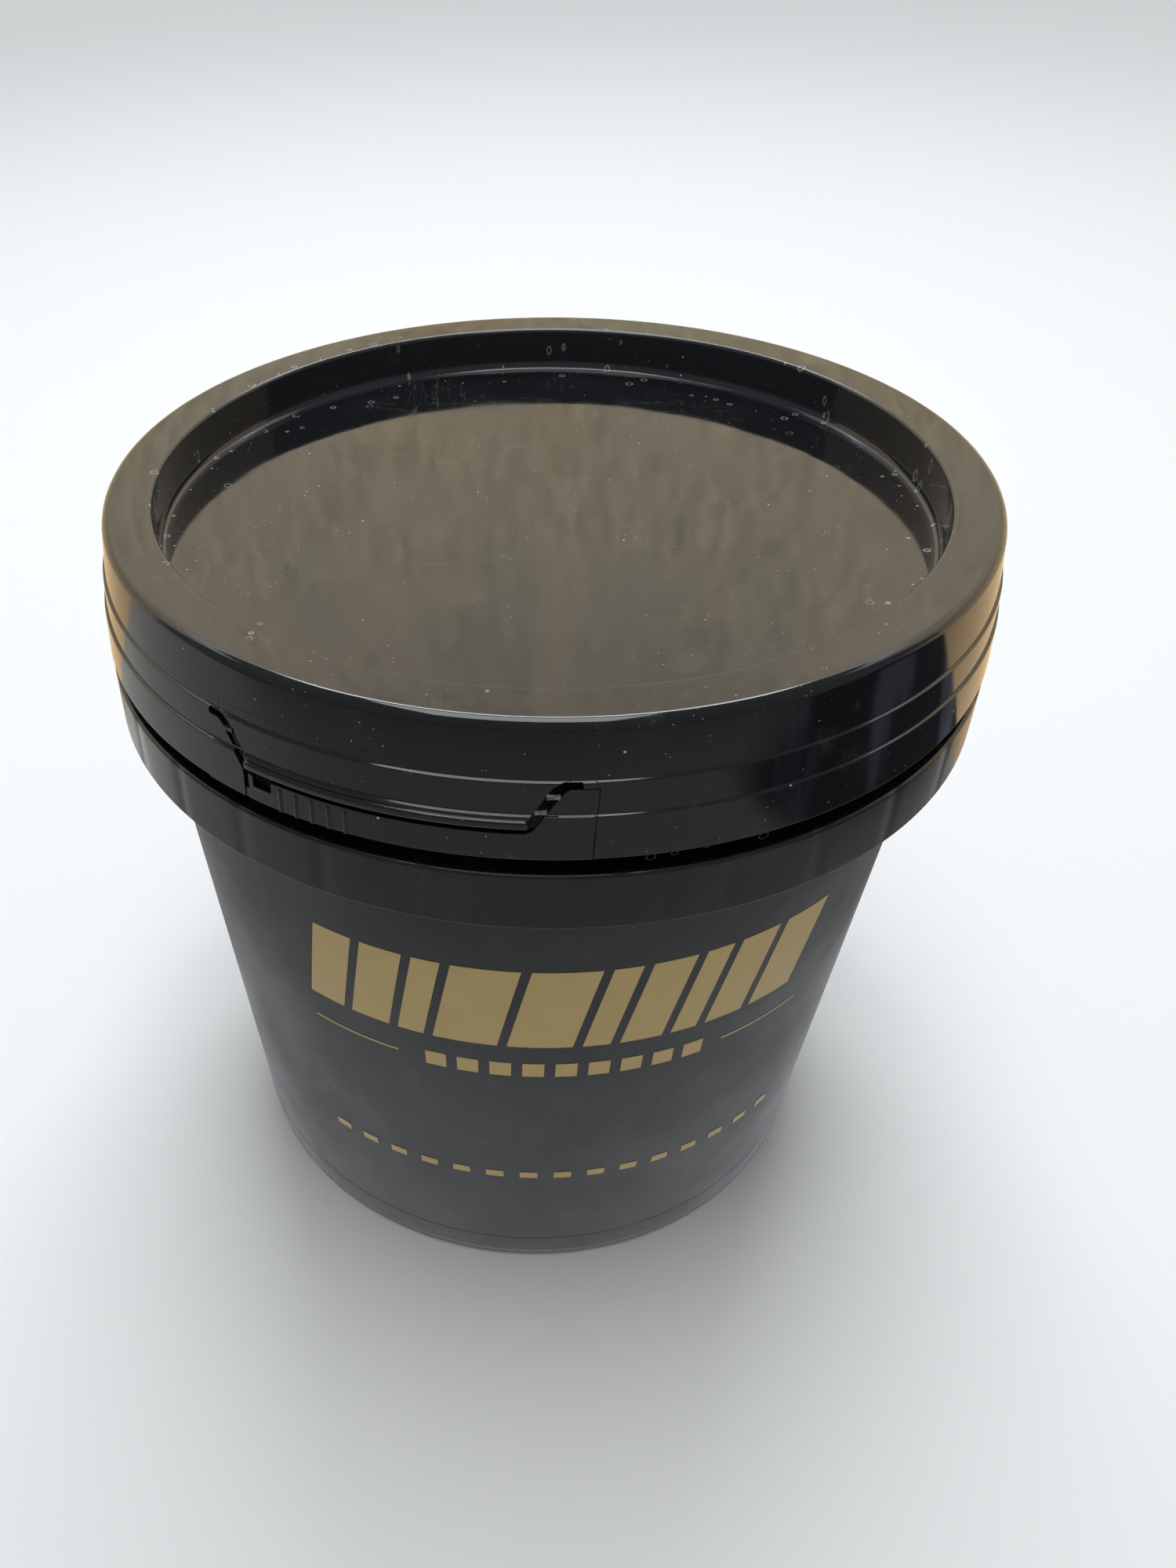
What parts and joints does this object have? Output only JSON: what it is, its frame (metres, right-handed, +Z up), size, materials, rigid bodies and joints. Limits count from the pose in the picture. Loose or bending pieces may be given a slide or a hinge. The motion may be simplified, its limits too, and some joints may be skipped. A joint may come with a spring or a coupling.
{
  "type": "wash bucket",
  "caption": "Tapered round pail with a collar, a press-on tamper-evident lid with a lifting flap and tear-off strap, and a wire bail with a roller grip.",
  "frame": {"origin": "on the floor under the pail's axis", "axes": "+Z up along the pail's axis, -Y to the printed front, +X to the right seen from the front, along the bail's pivot axis"},
  "size_m": [0.281, 0.2707, 0.254],
  "materials": {
    "pail_plastic": "satin black polypropylene, lightly scuffed",
    "lid_plastic": "polished black polypropylene",
    "flap_plastic": "polished black polypropylene",
    "strap_plastic": "semi-gloss black polypropylene",
    "tie_plastic": "thin stress-whitened black polypropylene",
    "seal_rubber": "soft dark grey seal",
    "bail_steel": "bright zinc-plated wire",
    "grip_plastic": "moulded black grip"
  },
  "bodies": {
    "pail": {"pail_body": "pail_plastic"},
    "lid": {"lid": "lid_plastic", "lid_seal": "seal_rubber", "tie_left_upper": "tie_plastic", "tie_left_lower": "tie_plastic", "tie_strap_start": "tie_plastic"},
    "flap": {"lifting_flap": "flap_plastic"},
    "strap": {"tear_strap": "strap_plastic", "tie_right_upper": "tie_plastic", "tie_right_lower": "tie_plastic"},
    "bail": {"bail_wire": "bail_steel"},
    "grip": {"bail_grip": "grip_plastic"}
  },
  "joints": [
    {"name": "lid_lift", "type": "slide", "parent": "pail", "child": "lid", "axis": [0, 0, 1], "range_m": [0, 0.3]},
    {"name": "flap_lift", "type": "hinge", "parent": "lid", "child": "flap", "pos_m": [-0.03726, -0.1258, 0.246], "axis": [-0.9588, 0.284, 0], "range_deg": [0, 50], "stiffness_Nm_per_rad": 0.4},
    {"name": "strap_tear", "type": "hinge", "parent": "lid", "child": "strap", "pos_m": [0.01503, -0.13376, 0.2175], "axis": [0, 0, 1], "range_deg": [0, 110], "stiffness_Nm_per_rad": 0.02},
    {"name": "bail_swing", "type": "hinge", "parent": "pail", "child": "bail", "pos_m": [0, 0, 0.203], "axis": [1, 0, 0], "range_deg": [0, 279]},
    {"name": "grip_spin", "type": "hinge", "parent": "bail", "child": "grip", "pos_m": [0, 0.12266, 0.0579], "axis": [1, 0, 0], "continuous": true}
  ]
}
